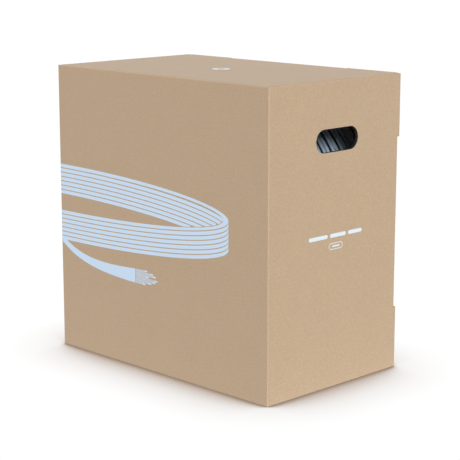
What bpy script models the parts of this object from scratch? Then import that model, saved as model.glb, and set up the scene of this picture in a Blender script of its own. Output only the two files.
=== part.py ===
"""Reel-in-a-box cable carton: a corrugated box with a cable reel that turns on a fixed axle.

Frame: millimetre-true sizes in metres, +Z up.  The origin is on the floor, under the middle
of the closed carton.  The big printed panel faces -Y, the closing tabs are at +Y, and the
walls with the hand holes face +X and -X.  The reel turns about the Y direction.
"""
import math

import bmesh
import bpy

# Closed carton, outside to outside
WIDTH = 0.405
DEPTH = 0.250
HEIGHT = 0.400
BOARD = 0.004
GAP = 0.0003

# Rear corners: the creases step out by one board where a tab lies over the rear panel
REAR_STEP = BOARD
WALL_TAB = 0.084
LID_TAB_INNER = 0.0905
LID_TAB_OUTER = 0.0086
TAB_DIAGONAL_GAP = 0.002

# Holes in the walls
HAND_HOLE_LENGTH = 0.079
HAND_HOLE_HEIGHT = 0.0294
HAND_HOLE_Z = 0.324
PAYOUT_HOLE_RADIUS = 0.025
PAYOUT_Z = 0.110

# Glue flaps behind the front panel
GLUE_FLAP = 0.050
GLUE_FLAP_END = 0.012

# Inner fitment: base pad and two axle pads of heavier board
PAD_BOARD = 0.007
PAD_FACE = 0.1069
AXIS_Z = HEIGHT / 2
AXLE_RADIUS = 0.024
AXLE_WALL = 0.003
CAP_FLANGE_RADIUS = 0.033
CAP_FLANGE = 0.0025
CAP_PLUG_LENGTH = 0.018
CAP_BORE_RADIUS = 0.008

# Reel
FLANGE_RADIUS = 0.185
FLANGE_BOARD = 0.005
FLANGE_FACE = 0.1005
BARREL_RADIUS = 0.055
BARREL_WALL = 0.005
BUSH_RADIUS = 0.029
BUSH_BORE_RADIUS = 0.0246
BUSH_LIP_RADIUS = 0.034
BUSH_LIP = 0.0018
BUSH_LENGTH = 0.0128
TIE_COUNT = 4
TIE_CIRCLE = 0.043
TIE_RADIUS = 0.003
TIE_HEAD_RADIUS = 0.0068
TIE_HEAD = 0.003
WASHER_RADIUS = 0.0075
WASHER = 0.001
NUT_RADIUS = 0.0058
NUT = 0.0036

# Cable wound on the reel, two turns to a band with a shallow gap between bands
WINDING_RADIUS = 0.176
WINDING_BANDS = 11
BAND_GROOVE = 0.0028
BAND_GROOVE_DEPTH = 0.003

# Derived planes
FRONT = -DEPTH / 2
REAR = DEPTH / 2
REAR_PANEL = REAR - REAR_STEP
SIDE = WIDTH / 2
MITRE_GAP = GAP / math.sqrt(2)
REEL_INNER = FLANGE_FACE - FLANGE_BOARD
WINDING_HALF = REEL_INNER - GAP

# Each plane lists the world axis of its normal, of its first and of its second direction
PLANES = {"x": (0, 1, 2), "y": (1, 0, 2), "z": (2, 0, 1)}


def clear_scene():
    for obj in list(bpy.data.objects):
        bpy.data.objects.remove(obj, do_unlink=True)


def make_material(name, colour, roughness, metallic=0.0):
    material = bpy.data.materials.new(name)
    material.use_nodes = True
    shader = material.node_tree.nodes["Principled BSDF"]
    shader.inputs["Base Color"].default_value = (*colour, 1.0)
    shader.inputs["Roughness"].default_value = roughness
    shader.inputs["Metallic"].default_value = metallic
    return material


def add_object(name, bm, material, smooth=False, pivot=None):
    """Turn a bmesh into a named object, with its origin at the pivot where one is given."""
    bmesh.ops.recalc_face_normals(bm, faces=bm.faces)
    if pivot is not None:
        bmesh.ops.translate(bm, verts=bm.verts, vec=[-value for value in pivot])
    mesh = bpy.data.meshes.new(name)
    bm.to_mesh(mesh)
    bm.free()
    mesh.materials.append(material)
    if smooth:
        mesh.shade_smooth()
        mesh.set_sharp_from_angle(angle=math.radians(35))
    obj = bpy.data.objects.new(name, mesh)
    if pivot is not None:
        obj.location = pivot
    bpy.context.collection.objects.link(obj)
    return obj


def world_point(plane, level, first, second):
    normal, axis_a, axis_b = PLANES[plane]
    point = [0.0, 0.0, 0.0]
    point[normal] = level
    point[axis_a] = first
    point[axis_b] = second
    return point


def prism(plane, outer_level, outer_outline, inner_level, inner_outline):
    """A solid between two outlines with the same number of points, on two parallel planes."""
    bm = bmesh.new()
    outer = [bm.verts.new(world_point(plane, outer_level, a, b)) for a, b in outer_outline]
    inner = [bm.verts.new(world_point(plane, inner_level, a, b)) for a, b in inner_outline]
    bm.faces.new(outer)
    bm.faces.new(inner[::-1])
    count = len(outer)
    for i in range(count):
        j = (i + 1) % count
        bm.faces.new((outer[j], outer[i], inner[i], inner[j]))
    return bm


def creased_panel(plane, outer_level, inward, edges):
    """A board panel from its edges in order.

    Each edge is (direction, place, outward): direction 0 or 1 says which coordinate the edge
    fixes, and outward is +1 or -1 for a crease mitred at 45 degrees, or 0 for a square cut.
    """
    def corner(first, second, depth):
        place = {}
        for direction, value, outward in (first, second):
            place[direction] = value - outward * (MITRE_GAP + depth)
        return place[0], place[1]

    count = len(edges)
    pairs = [(edges[i], edges[(i + 1) % count]) for i in range(count)]
    outer = [corner(first, second, 0.0) for first, second in pairs]
    inner = [corner(first, second, BOARD) for first, second in pairs]
    return prism(plane, outer_level, outer, outer_level + inward * BOARD, inner)


def turned(profile, segments, centre=(0.0, AXIS_Z), axis="y", capped=False):
    """A body turned about an axis along X or Y through centre, from (radius, place) points.

    The profile closes on itself as a ring, or ends in flat caps where capped is set.
    """
    bm = bmesh.new()
    rings = []
    for radius, place in profile:
        ring = []
        for k in range(segments):
            angle = 2 * math.pi * k / segments
            across = centre[0] + radius * math.cos(angle)
            height = centre[1] + radius * math.sin(angle)
            point = (across, place, height) if axis == "y" else (place, across, height)
            ring.append(bm.verts.new(point))
        rings.append(ring)
    last = len(rings) - 1 if capped else len(rings)
    for i in range(last):
        after = rings[(i + 1) % len(rings)]
        for k in range(segments):
            m = (k + 1) % segments
            bm.faces.new((rings[i][k], rings[i][m], after[m], after[k]))
    if capped:
        bm.faces.new(rings[0][::-1])
        bm.faces.new(rings[-1])
    return bm


def plain_ring(inner, outer, start, end):
    """Profile of a plain tube or washer between two places on the axis."""
    return [(inner, start), (outer, start), (outer, end), (inner, end)]


def stadium(length, height, steps=8):
    """Outline of a slot with round ends, centred on (0, 0)."""
    radius = height / 2
    half = length / 2 - radius
    points = []
    for end, start_angle in ((half, -90), (-half, 90)):
        for k in range(steps + 1):
            angle = math.radians(start_angle + 180 * k / steps)
            points.append((end + radius * math.cos(angle), radius * math.sin(angle)))
    return points


def circle(radius, steps):
    return [(radius * math.cos(2 * math.pi * k / steps), radius * math.sin(2 * math.pi * k / steps))
            for k in range(steps)]


def cut_hole(obj, name, plane, outline, centre, level, depth):
    """Cut a straight hole of the given outline right through a board."""
    shifted = [(a + centre[0], b + centre[1]) for a, b in outline]
    bm = prism(plane, level - depth, shifted, level + depth, shifted)
    cutter = add_object(name, bm, obj.data.materials[0])
    cutter.hide_render = True
    cutter.display_type = "WIRE"
    modifier = obj.modifiers.new("hole_" + name, "BOOLEAN")
    modifier.operation = "DIFFERENCE"
    modifier.solver = "EXACT"
    modifier.object = cutter


def lid_edges():
    """Outline of the top and bottom panels, first direction X, second direction Y."""
    tab_out = SIDE - LID_TAB_OUTER
    tab_in = SIDE - LID_TAB_INNER
    return [
        (1, FRONT, -1),
        (0, SIDE, 1),
        (1, REAR_PANEL, 0),
        (0, tab_out, 0),
        (1, REAR, 1),
        (0, tab_in, 0),
        (1, REAR_PANEL, 1),
        (0, -tab_in, 0),
        (1, REAR, 1),
        (0, -tab_out, 0),
        (1, REAR_PANEL, 0),
        (0, -SIDE, -1),
    ]


def wall_edges():
    """Outline of a side wall, first direction Y, second direction Z."""
    return [
        (1, 0.0, -1),
        (0, REAR, 1),
        (1, WALL_TAB, 0),
        (0, REAR_PANEL, 1),
        (1, HEIGHT - WALL_TAB, 0),
        (0, REAR, 1),
        (1, HEIGHT, 1),
        (0, FRONT, -1),
    ]


def rear_panel_edges():
    """Outline of the rear panel: creased in the middle of each side, square at the corners."""
    ear = SIDE - LID_TAB_INNER - GAP
    side = SIDE - BOARD - GAP
    low = BOARD + GAP
    return [
        (1, 0.0, -1),
        (0, ear, 0),
        (1, low, 0),
        (0, side, 0),
        (1, WALL_TAB + GAP, 0),
        (0, SIDE, 1),
        (1, HEIGHT - WALL_TAB - GAP, 0),
        (0, side, 0),
        (1, HEIGHT - low, 0),
        (0, ear, 0),
        (1, HEIGHT, 1),
        (0, -ear, 0),
        (1, HEIGHT - low, 0),
        (0, -side, 0),
        (1, HEIGHT - WALL_TAB - GAP, 0),
        (0, -SIDE, -1),
        (1, WALL_TAB + GAP, 0),
        (0, -side, 0),
        (1, low, 0),
        (0, -ear, 0),
    ]


def front_panel_edges():
    return [(1, 0.0, -1), (0, SIDE, 1), (1, HEIGHT, 1), (0, -SIDE, -1)]


def build_walls(board):
    add_object("carton_front_panel", creased_panel("y", FRONT, 1, front_panel_edges()), board)
    add_object("carton_rear_panel", creased_panel("y", REAR_PANEL, -1, rear_panel_edges()), board)
    add_object("carton_bottom_panel", creased_panel("z", 0.0, 1, lid_edges()), board)
    hinge = (0.0, FRONT, HEIGHT)
    add_object("carton_lid", creased_panel("z", HEIGHT, -1, lid_edges()), board, pivot=hinge)
    for label, sign in (("right", 1), ("left", -1)):
        wall = add_object("carton_" + label + "_wall",
                          creased_panel("x", sign * SIDE, -sign, wall_edges()), board)
        cut_hole(wall, "cut_hand_hole_" + label, "x", stadium(HAND_HOLE_LENGTH, HAND_HOLE_HEIGHT),
                 (0.0, HAND_HOLE_Z), sign * SIDE, 2 * BOARD)
        if label == "left":
            cut_hole(wall, "cut_payout_hole", "x", circle(PAYOUT_HOLE_RADIUS, 32),
                     (0.0, PAYOUT_Z), sign * SIDE, 2 * BOARD)


def wall_tab_outline(crease):
    """Tab on a side wall: (in from the wall, away from the lid or bottom), cut on the diagonal."""
    half = TAB_DIAGONAL_GAP / 2
    return [(crease, crease + half), (crease, WALL_TAB), (WALL_TAB - half, WALL_TAB)]


def lid_tab_outline(crease):
    """Tab on the lid or bottom, in the same directions, on the other side of the diagonal."""
    half = TAB_DIAGONAL_GAP / 2
    return [
        (LID_TAB_OUTER, crease),
        (LID_TAB_INNER, crease),
        (LID_TAB_INNER, WALL_TAB),
        (WALL_TAB + half, WALL_TAB),
        (LID_TAB_OUTER, LID_TAB_OUTER - half),
    ]


def corner_tab(name, outline, side_sign, top, board, pivot=None):
    """A tab at a rear corner; outline gives its points for a crease that far in."""
    def placed(points):
        return [(side_sign * (SIDE - a), HEIGHT - b if top else b) for a, b in points]

    thickness = BOARD - GAP
    outer = placed(outline(MITRE_GAP))
    inner = placed(outline(MITRE_GAP + thickness))
    add_object(name, prism("y", REAR, outer, REAR - thickness, inner), board, pivot=pivot)


def build_tabs(board):
    tab_x = SIDE - (LID_TAB_OUTER + LID_TAB_INNER) / 2
    for label, sign in (("right", 1), ("left", -1)):
        corner_tab("lid_tab_" + label, lid_tab_outline, sign, True, board,
                   pivot=(sign * tab_x, REAR, HEIGHT))
        corner_tab("bottom_tab_" + label, lid_tab_outline, sign, False, board)
        corner_tab(label + "_wall_tab_upper", wall_tab_outline, sign, True, board)
        corner_tab(label + "_wall_tab_lower", wall_tab_outline, sign, False, board)


def box(name, low, high, material):
    outline = [(low[0], low[2]), (high[0], low[2]), (high[0], high[2]), (low[0], high[2])]
    return add_object(name, prism("y", low[1], outline, high[1], outline), material)


def build_glue_flaps(board):
    near = FRONT + BOARD + GAP
    far = near + BOARD
    edge = SIDE - BOARD - GAP
    for label, sign in (("right", 1), ("left", -1)):
        ends = sorted((sign * edge, sign * (edge - GLUE_FLAP)))
        box("glue_flap_" + label, (ends[0], near, GLUE_FLAP_END),
            (ends[1], far, HEIGHT - GLUE_FLAP_END), board)
    reach = edge - GLUE_FLAP - GLUE_FLAP_END
    box("glue_flap_bottom", (-reach, near, BOARD + GAP), (reach, far, BOARD + GAP + GLUE_FLAP), board)


def build_fitment(board, heavy_board, tube, plastic):
    side = SIDE - BOARD - 2 * GAP
    base_top = BOARD + GAP + BOARD
    box("base_pad", (-side, -PAD_FACE - PAD_BOARD, BOARD + GAP),
        (side, PAD_FACE + PAD_BOARD, base_top), board)
    for label, sign in (("front", -1), ("rear", 1)):
        ends = sorted((sign * PAD_FACE, sign * (PAD_FACE + PAD_BOARD)))
        pad = box("axle_pad_" + label, (-side, ends[0], base_top + GAP),
                  (side, ends[1], HEIGHT - BOARD - 2 * GAP), heavy_board)
        cut_hole(pad, "cut_axle_hole_" + label, "y", circle(AXLE_RADIUS + GAP, 48),
                 (0.0, AXIS_Z), sign * PAD_FACE, 2 * PAD_BOARD)
        build_axle_cap("axle_cap_" + label, sign, plastic)
    end = PAD_FACE + PAD_BOARD
    profile = plain_ring(AXLE_RADIUS - AXLE_WALL, AXLE_RADIUS, -end, end)
    add_object("axle_tube", turned(profile, 48), tube, smooth=True)


def build_axle_cap(name, sign, plastic):
    lip = PAD_FACE + PAD_BOARD + GAP
    plug = AXLE_RADIUS - AXLE_WALL - GAP
    profile = [
        (CAP_BORE_RADIUS, lip + CAP_FLANGE),
        (CAP_FLANGE_RADIUS, lip + CAP_FLANGE),
        (CAP_FLANGE_RADIUS, lip),
        (plug, lip),
        (plug - 0.001, lip - CAP_PLUG_LENGTH),
        (CAP_BORE_RADIUS, lip - CAP_PLUG_LENGTH),
    ]
    profile = [(radius, sign * place) for radius, place in profile]
    add_object(name, turned(profile, 40), plastic, smooth=True)


def winding_profile():
    """Outer side of the winding as raised bands with shallow grooves between them."""
    pitch = 2 * WINDING_HALF / WINDING_BANDS
    crown = pitch - BAND_GROOVE
    points = [(BARREL_RADIUS + GAP, -WINDING_HALF)]
    for k in range(WINDING_BANDS):
        middle = -WINDING_HALF + (k + 0.5) * pitch
        points.append((WINDING_RADIUS - BAND_GROOVE_DEPTH, middle - crown / 2))
        points.append((WINDING_RADIUS, middle - crown * 0.3))
        points.append((WINDING_RADIUS, middle + crown * 0.3))
        points.append((WINDING_RADIUS - BAND_GROOVE_DEPTH, middle + crown / 2))
    points.append((BARREL_RADIUS + GAP, WINDING_HALF))
    return points


def build_reel(fibreboard, tube, plastic, jacket):
    spin = (0.0, 0.0, AXIS_Z)
    for label, sign in (("front", -1), ("rear", 1)):
        profile = plain_ring(BUSH_RADIUS + GAP, FLANGE_RADIUS, sign * REEL_INNER, sign * FLANGE_FACE)
        flange = add_object("reel_flange_" + label, turned(profile, 72), fibreboard,
                            smooth=True, pivot=spin)
        drill_flange(flange, label, sign)
        build_bush("reel_bush_" + label, sign, plastic, spin)
    profile = plain_ring(BARREL_RADIUS - BARREL_WALL, BARREL_RADIUS, -WINDING_HALF, WINDING_HALF)
    add_object("reel_barrel", turned(profile, 48), tube, smooth=True, pivot=spin)
    add_object("cable_winding", turned(winding_profile(), 48), jacket, smooth=True, pivot=spin)


def tie_places():
    for k in range(TIE_COUNT):
        angle = math.radians(45 + 360 * k / TIE_COUNT)
        yield TIE_CIRCLE * math.cos(angle), AXIS_Z + TIE_CIRCLE * math.sin(angle)


def drill_flange(flange, label, sign):
    for index, centre in enumerate(tie_places()):
        cut_hole(flange, "cut_tie_hole_{}_{}".format(label, index + 1), "y",
                 circle(TIE_RADIUS + GAP, 16), (centre[0], centre[1]),
                 sign * FLANGE_FACE, 2 * FLANGE_BOARD)


def build_bush(name, sign, plastic, spin):
    lip = FLANGE_FACE + GAP
    profile = [
        (BUSH_BORE_RADIUS, lip + BUSH_LIP),
        (BUSH_LIP_RADIUS, lip + BUSH_LIP),
        (BUSH_LIP_RADIUS, lip),
        (BUSH_RADIUS, lip),
        (BUSH_RADIUS, lip - BUSH_LENGTH),
        (BUSH_BORE_RADIUS, lip - BUSH_LENGTH),
    ]
    profile = [(radius, sign * place) for radius, place in profile]
    add_object(name, turned(profile, 40), plastic, smooth=True, pivot=spin)


def build_tie_hardware(steel):
    """Carriage bolts that clamp the flanges on the barrel, heads in front and nuts behind."""
    spin = (0.0, 0.0, AXIS_Z)
    head = -FLANGE_FACE - GAP
    washer = FLANGE_FACE + GAP
    nut = washer + WASHER + GAP
    bolt_profile = [
        (TIE_HEAD_RADIUS * 0.45, head - TIE_HEAD),
        (TIE_HEAD_RADIUS * 0.85, head - TIE_HEAD * 0.6),
        (TIE_HEAD_RADIUS, head),
        (TIE_RADIUS, head),
        (TIE_RADIUS, nut + NUT + GAP),
    ]
    washer_profile = plain_ring(TIE_RADIUS + GAP, WASHER_RADIUS, washer, washer + WASHER)
    for index, centre in enumerate(tie_places()):
        label = str(index + 1)
        add_object("tie_bolt_" + label, turned(bolt_profile, 16, centre, capped=True), steel,
                   smooth=True, pivot=spin)
        add_object("tie_washer_" + label, turned(washer_profile, 20, centre), steel,
                   smooth=True, pivot=spin)
        hexagon = [(centre[0] + a, centre[1] + b) for a, b in circle(NUT_RADIUS, 6)]
        body = add_object("tie_nut_" + label, prism("y", nut, hexagon, nut + NUT, hexagon), steel,
                          pivot=spin)
        cut_hole(body, "cut_nut_" + label, "y", circle(TIE_RADIUS + GAP, 16), centre, nut, 2 * NUT)


def build_grommet(plastic):
    """Payout grommet: its lip is behind the left wall, and its mouth is flush outside."""
    sleeve = PAYOUT_HOLE_RADIUS - GAP
    bore = PAYOUT_HOLE_RADIUS - 0.004
    wall_inside = BOARD + GAP
    profile = [
        (bore + 0.002, MITRE_GAP),
        (sleeve, MITRE_GAP),
        (sleeve, wall_inside),
        (PAYOUT_HOLE_RADIUS + 0.009, wall_inside),
        (PAYOUT_HOLE_RADIUS + 0.009, wall_inside + 0.002),
        (bore + 0.002, wall_inside + 0.002),
        (bore, wall_inside),
        (bore, BOARD / 2),
    ]
    profile = [(radius, place - SIDE) for radius, place in profile]
    add_object("payout_grommet", turned(profile, 40, (0.0, PAYOUT_Z), "x"), plastic, smooth=True)


def build():
    clear_scene()
    board = make_material("kraft_board", (0.50, 0.36, 0.25), 0.85)
    heavy_board = make_material("double_wall_board", (0.45, 0.32, 0.21), 0.9)
    tube = make_material("paper_tube", (0.36, 0.26, 0.18), 0.85)
    fibreboard = make_material("flange_fibreboard", (0.26, 0.17, 0.10), 0.7)
    plastic = make_material("white_plastic", (0.75, 0.77, 0.78), 0.45)
    steel = make_material("zinc_steel", (0.62, 0.62, 0.60), 0.35, 1.0)
    jacket = make_material("cable_jacket", (0.16, 0.21, 0.28), 0.4)
    build_walls(board)
    build_tabs(board)
    build_glue_flaps(board)
    build_fitment(board, heavy_board, tube, plastic)
    build_reel(fibreboard, tube, plastic, jacket)
    build_tie_hardware(steel)
    build_grommet(plastic)


build()
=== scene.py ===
"""Looks of the reel-in-a-box cable carton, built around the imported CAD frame.

Metres, +Z up.  The printed panel faces -Y, the closing tabs are at +Y and the reel turns
about the Y direction.  Each board piece is made of its real layers: liners on both sides
and a fluted medium between them.
"""
import math
import random

import bmesh
import bpy
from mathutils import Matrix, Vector


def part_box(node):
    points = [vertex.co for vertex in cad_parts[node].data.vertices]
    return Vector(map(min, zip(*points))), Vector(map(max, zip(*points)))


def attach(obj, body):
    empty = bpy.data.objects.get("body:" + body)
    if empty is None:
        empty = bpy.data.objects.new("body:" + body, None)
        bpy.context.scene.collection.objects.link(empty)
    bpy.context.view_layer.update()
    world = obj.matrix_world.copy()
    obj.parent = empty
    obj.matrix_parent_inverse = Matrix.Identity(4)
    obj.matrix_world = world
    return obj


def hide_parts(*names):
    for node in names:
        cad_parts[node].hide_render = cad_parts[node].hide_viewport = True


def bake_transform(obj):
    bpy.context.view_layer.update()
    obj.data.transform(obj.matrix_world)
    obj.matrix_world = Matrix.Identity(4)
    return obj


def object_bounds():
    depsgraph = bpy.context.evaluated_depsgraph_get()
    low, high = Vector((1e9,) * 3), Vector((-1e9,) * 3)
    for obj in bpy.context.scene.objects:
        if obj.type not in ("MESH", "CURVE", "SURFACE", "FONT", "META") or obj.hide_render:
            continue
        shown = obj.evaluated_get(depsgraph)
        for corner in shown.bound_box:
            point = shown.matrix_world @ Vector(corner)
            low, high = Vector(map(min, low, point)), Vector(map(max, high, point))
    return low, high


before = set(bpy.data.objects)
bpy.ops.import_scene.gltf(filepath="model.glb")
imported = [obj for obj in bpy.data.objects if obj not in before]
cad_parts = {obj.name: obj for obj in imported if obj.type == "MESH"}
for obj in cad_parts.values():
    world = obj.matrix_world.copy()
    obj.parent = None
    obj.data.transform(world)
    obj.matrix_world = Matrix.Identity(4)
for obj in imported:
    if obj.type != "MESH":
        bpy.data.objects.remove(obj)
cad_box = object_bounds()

MM = 0.001

# Places taken from the frame
LOW, HIGH = cad_box
SIDE = HIGH.x
FRONT = LOW.y
REAR = HIGH.y
TOP = HIGH.z
REAR_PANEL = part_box("carton_rear_panel")[1].y
BOARD = REAR - REAR_PANEL
WALL_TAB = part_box("left_wall_tab_lower")[1].z
TAB_IN, TAB_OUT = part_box("lid_tab_right")[0].x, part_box("lid_tab_right")[1].x
TAB_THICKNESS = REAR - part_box("lid_tab_right")[0].y
PAD_BOX = {label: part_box("axle_pad_" + label) for label in ("front", "rear")}
FLANGE_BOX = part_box("reel_flange_rear")
AXIS_Z = (FLANGE_BOX[0].z + FLANGE_BOX[1].z) / 2
FLANGE_RADIUS = FLANGE_BOX[1].x
REEL_INNER, FLANGE_FACE = FLANGE_BOX[0].y, FLANGE_BOX[1].y
WINDING_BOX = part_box("cable_winding")
GAP = 0.3 * MM

# Openings
HAND_HOLE = (79 * MM, 29.4 * MM)
HAND_HOLE_Z = 0.324
PAYOUT_RADIUS = 25 * MM
PAYOUT_Z = 0.110
AXLE_HOLE = 24.3 * MM

# Board
SKIN = 0.1 * MM
CREASE_RADIUS = 1.6 * MM
CREASE_STEPS = 4
INNER_BEAD = 2.2 * MM
OUTER_LINER = 0.55 * MM
LINER = 0.4 * MM
MEDIUM = 0.3 * MM
FLUTE_PITCH = 7.8 * MM
FLUTE_STEPS = 12
EASED_EDGE = 0.12 * MM
MEET_GAP = 0.15 * MM
MEDIUM_RECESS = 0.15 * MM
LINER_CLEARANCE = 0.02 * MM
DOUBLE_WALL_PITCH = FLUTE_PITCH * 0.8
MITRE_HALF_GAP = 1 * MM
RIM = 0.35 * MM
# Places of a board's materials
OUTSIDE, INSIDE, FLUTED, LIP = range(4)

# Each plane lists the world axis of its normal, of its first and of its second direction
PLANES = {"x": (0, 1, 2), "y": (1, 0, 2), "z": (2, 0, 1)}
WALLS = (("right", 1), ("left", -1))
REEL_ENDS = (("front", -1), ("rear", 1))


# ==== Shader nodes

def make(tree, kind, inputs=None, **settings):
    """A shader node, with its properties set and its inputs given values or linked."""
    made = tree.nodes.new("ShaderNode" + kind)
    for key, value in settings.items():
        setattr(made, key, value)
    for key, value in (inputs or {}).items():
        if isinstance(value, bpy.types.NodeSocket):
            tree.links.new(value, made.inputs[key])
        else:
            made.inputs[key].default_value = value
    return made


def calc(tree, operation, first, second=0.0, third=0.0):
    inputs = {0: first, 1: second, 2: third}
    return make(tree, "Math", inputs, operation=operation).outputs[0]


def scaled(tree, value, factor, plus):
    return calc(tree, "MULTIPLY_ADD", value, factor, plus)


def xyz(tree, vector):
    return make(tree, "SeparateXYZ", {0: vector}).outputs


def remap(tree, value, low, high, to_low=0.0, to_high=1.0):
    inputs = {"Value": value, "From Min": low, "From Max": high, "To Min": to_low, "To Max": to_high}
    return make(tree, "MapRange", inputs, interpolation_type="SMOOTHSTEP").outputs[0]


def mix(tree, factor, first, second, blend="MIX"):
    inputs = {0: factor, 6: first, 7: second}
    return make(tree, "Mix", inputs, data_type="RGBA", blend_type=blend).outputs[2]


def noise(tree, vector, scale, detail=4.0, roughness=0.55, stretch=None):
    if stretch is not None:
        inputs = {0: vector, 1: stretch}
        vector = make(tree, "VectorMath", inputs, operation="MULTIPLY").outputs[0]
    inputs = {"Vector": vector, "Scale": scale, "Detail": detail, "Roughness": roughness}
    return make(tree, "TexNoise", inputs).outputs[0]


def colour(red, green, blue):
    return (red, green, blue, 1.0)


def empty_tree(owner):
    owner.use_nodes = True
    owner.node_tree.nodes.clear()
    return owner.node_tree


def new_material(name, **constants):
    """A material with an empty Principled shader, whose fixed values sit on its own sockets."""
    material = bpy.data.materials.new(name)
    material.use_nodes = True
    tree = material.node_tree
    shader = tree.nodes["Principled BSDF"]
    for key, value in constants.items():
        shader.inputs[key.replace("_", " ")].default_value = value
    return material, tree, shader


def rest_place(tree, from_attribute=False):
    """Where a point is on the closed, unmoved object."""
    if from_attribute:
        return make(tree, "Attribute", attribute_name="rest").outputs["Vector"]
    return make(tree, "TexCoord").outputs["Object"]


def dress(tree, shader, base, rough, relief, strength, distance):
    """Links a shader's base colour and roughness, and its relief through a bump."""
    bump = make(tree, "Bump", {"Strength": strength, "Distance": distance, "Height": relief})
    for source, socket in ((base, "Base Color"), (rough, "Roughness"), (bump.outputs[0], "Normal")):
        tree.links.new(source, shader.inputs[socket])


def edge_mask(tree, place, reach):
    """One along the carton's creases and zero away from them: the second nearest of three."""
    parts = xyz(tree, place)
    height = calc(tree, "SUBTRACT", parts[2], TOP / 2)
    near = []
    for value, half in ((parts[0], SIDE), (parts[1], REAR), (height, TOP / 2)):
        near.append(remap(tree, calc(tree, "ABSOLUTE", value), half - reach, half - SKIN))
    larger = calc(tree, "MAXIMUM", near[0], near[1])
    smaller = calc(tree, "MINIMUM", near[0], near[1])
    return calc(tree, "MAXIMUM", smaller, calc(tree, "MINIMUM", larger, near[2]))


def flute_wave(tree, place):
    """The washboard of the flutes under the liner, across X, or across Y on the side walls."""
    parts = xyz(tree, place)
    normal = make(tree, "NewGeometry").outputs["True Normal"]
    sideways = xyz(tree, normal)[0]
    on_wall = calc(tree, "GREATER_THAN", calc(tree, "ABSOLUTE", sideways), 0.7)
    across = scaled(tree, on_wall, calc(tree, "SUBTRACT", parts[1], parts[0]), parts[0])
    return calc(tree, "SINE", calc(tree, "MULTIPLY", across, 2 * math.pi / FLUTE_PITCH))


def kraft(name, warm, grey, worn_highlight, from_attribute=False, rub_and_highlight=1.0):
    """Unbleached liner: fibres, fine flecks, a faint washboard, and creases made lighter partly by
    rubbed wear and partly as painted highlight.
    """
    material, tree, shader = new_material(name, Sheen_Weight=0.08, Sheen_Roughness=0.5,
                                          Specular_IOR_Level=0.30)
    place = rest_place(tree, from_attribute)
    flecks = noise(tree, place, 520.0, 5.0, 0.70)
    clouds = noise(tree, place, 24.0, 3.0)
    hue = noise(tree, place, 240.0, 3.0)
    fibres = noise(tree, place, 900.0, 3.0, 0.6, (1.0, 1.0, 0.13))
    cross_fibres = noise(tree, place, 900.0, 3.0, 0.6, (0.13, 0.13, 1.0))
    paper = mix(tree, remap(tree, hue, 0.3, 0.7), colour(*warm), colour(*grey))
    tone = scaled(tree, flecks, 0.64, 0.68)
    for layer, share in ((clouds, 0.05), (fibres, 0.10), (cross_fibres, 0.06)):
        tone = scaled(tree, calc(tree, "SUBTRACT", layer, 0.5), share, tone)
    speck = remap(tree, noise(tree, place, 560.0, 2.0), 0.66, 0.74)
    tone = scaled(tree, speck, -0.12, tone)
    paper = mix(tree, 1.0, paper, tone, "MULTIPLY")
    # lighter creases: partly rubbed wear, partly painted highlight
    rubbed_and_highlight = calc(tree, "MULTIPLY", edge_mask(tree, place, CREASE_RADIUS),
                  scaled(tree, flecks, 0.6, 0.45 * rub_and_highlight))
    paper = mix(tree, rubbed_and_highlight, paper, colour(*worn_highlight))
    rough = scaled(tree, flecks, 0.18, 0.70)
    grain = scaled(tree, fibres, 0.5, calc(tree, "MULTIPLY", flecks, 0.6))
    grain = scaled(tree, flute_wave(tree, place), 0.16, grain)
    dress(tree, shader, paper, rough, grain, 0.45, 0.12 * MM)
    return material


def medium_paper(name, pale, dark):
    """The fluted paper and the cut edges: rougher and a little darker than the liners."""
    material, tree, shader = new_material(name, Specular_IOR_Level=0.25)
    place = rest_place(tree)
    fibres = noise(tree, place, 700.0, 4.0, 0.65)
    streaks = noise(tree, place, 300.0, 3.0, 0.6, (1.0, 1.0, 0.2))
    blend = scaled(tree, streaks, 0.5, calc(tree, "MULTIPLY", fibres, 0.5))
    paper = mix(tree, remap(tree, blend, 0.3, 0.7), colour(*dark), colour(*pale))
    rough = scaled(tree, fibres, 0.15, 0.8)
    dress(tree, shader, paper, rough, fibres, 0.5, 0.15 * MM)
    return material


def ink(name, full, under, cover):
    """Flexo ink on kraft: the fibres and flecks of the liner show through a little."""
    material, tree, shader = new_material(name, Specular_IOR_Level=0.35)
    place = rest_place(tree)
    flecks = noise(tree, place, 520.0, 5.0, 0.7)
    clouds = noise(tree, place, 35.0, 2.0)
    thin = remap(tree, flecks, 0.50, 0.85, 0.0, 1.0 - cover)
    thin = scaled(tree, clouds, 0.05, thin)
    tone = mix(tree, thin, colour(*full), colour(*under))
    rough = scaled(tree, flecks, 0.2, 0.5)
    dress(tree, shader, tone, rough, flecks, 0.25, 0.08 * MM)
    return material


def mottled(name, first, second, scale, rough, bump, **constants):
    """Two tones mixed by a noise, which also drives the roughness and a fine relief."""
    material, tree, shader = new_material(name, **constants)
    place = rest_place(tree)
    large = noise(tree, place, scale, 4.0, 0.6)
    small = noise(tree, place, scale * 9.0, 3.0, 0.6)
    tone = mix(tree, remap(tree, large, 0.32, 0.68), colour(*first), colour(*second))
    tone = mix(tree, 1.0, tone, scaled(tree, small, 0.2, 0.9), "MULTIPLY")
    blend = scaled(tree, small, 0.5, calc(tree, "MULTIPLY", large, 0.5))
    dress(tree, shader, tone, remap(tree, blend, 0.2, 0.8, *rough), small, bump, 0.1 * MM)
    return material


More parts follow.
